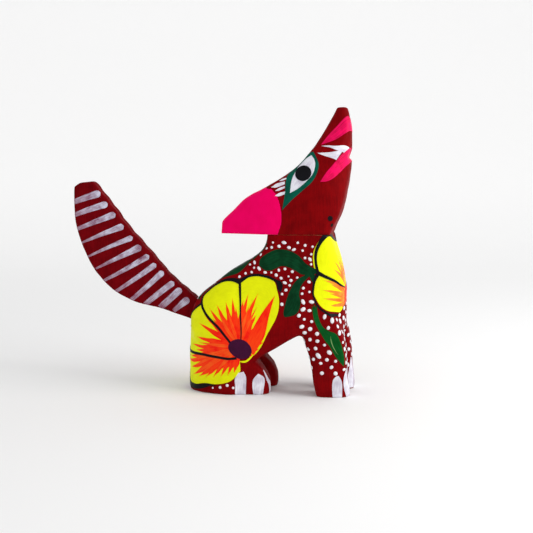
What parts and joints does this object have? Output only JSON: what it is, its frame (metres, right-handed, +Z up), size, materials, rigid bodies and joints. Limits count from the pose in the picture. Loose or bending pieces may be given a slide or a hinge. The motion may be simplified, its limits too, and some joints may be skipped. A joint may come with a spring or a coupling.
{
  "type": "alebrije figure",
  "caption": "Small painted wooden figure of a seated, howling coyote, with a glued-on head and a blade-shaped tail that plugs into its rump on a dowel.",
  "frame": {"origin": "centre of the figure's box, on the surface that its feet stand on", "axes": "+Z up; the animal faces +X and its right side is at -Y"},
  "size_m": [0.0948, 0.0272, 0.0932],
  "materials": {
    "body_paint": "satin acrylic paint on copal wood, dark red",
    "head_paint": "satin acrylic paint on copal wood, dark red",
    "tail_paint": "satin acrylic paint on copal wood, maroon",
    "bare_copal": "bare sanded wood"
  },
  "bodies": {
    "figure": {"body": "body_paint", "head": "head_paint", "neck_dowel": "bare_copal"},
    "tail_peg": {"tail_dowel": "bare_copal"},
    "tail": {"tail": "tail_paint"}
  },
  "joints": [
    {"name": "tail_pull", "type": "slide", "parent": "figure", "child": "tail_peg", "axis": [-0.9455, 0, 0.3256], "range_m": [0, 0.009]},
    {"name": "tail_turn", "type": "hinge", "parent": "tail_peg", "child": "tail", "pos_m": [-0.00509, 0, 0.0262], "axis": [-0.9455, 0, 0.3256], "continuous": true}
  ]
}
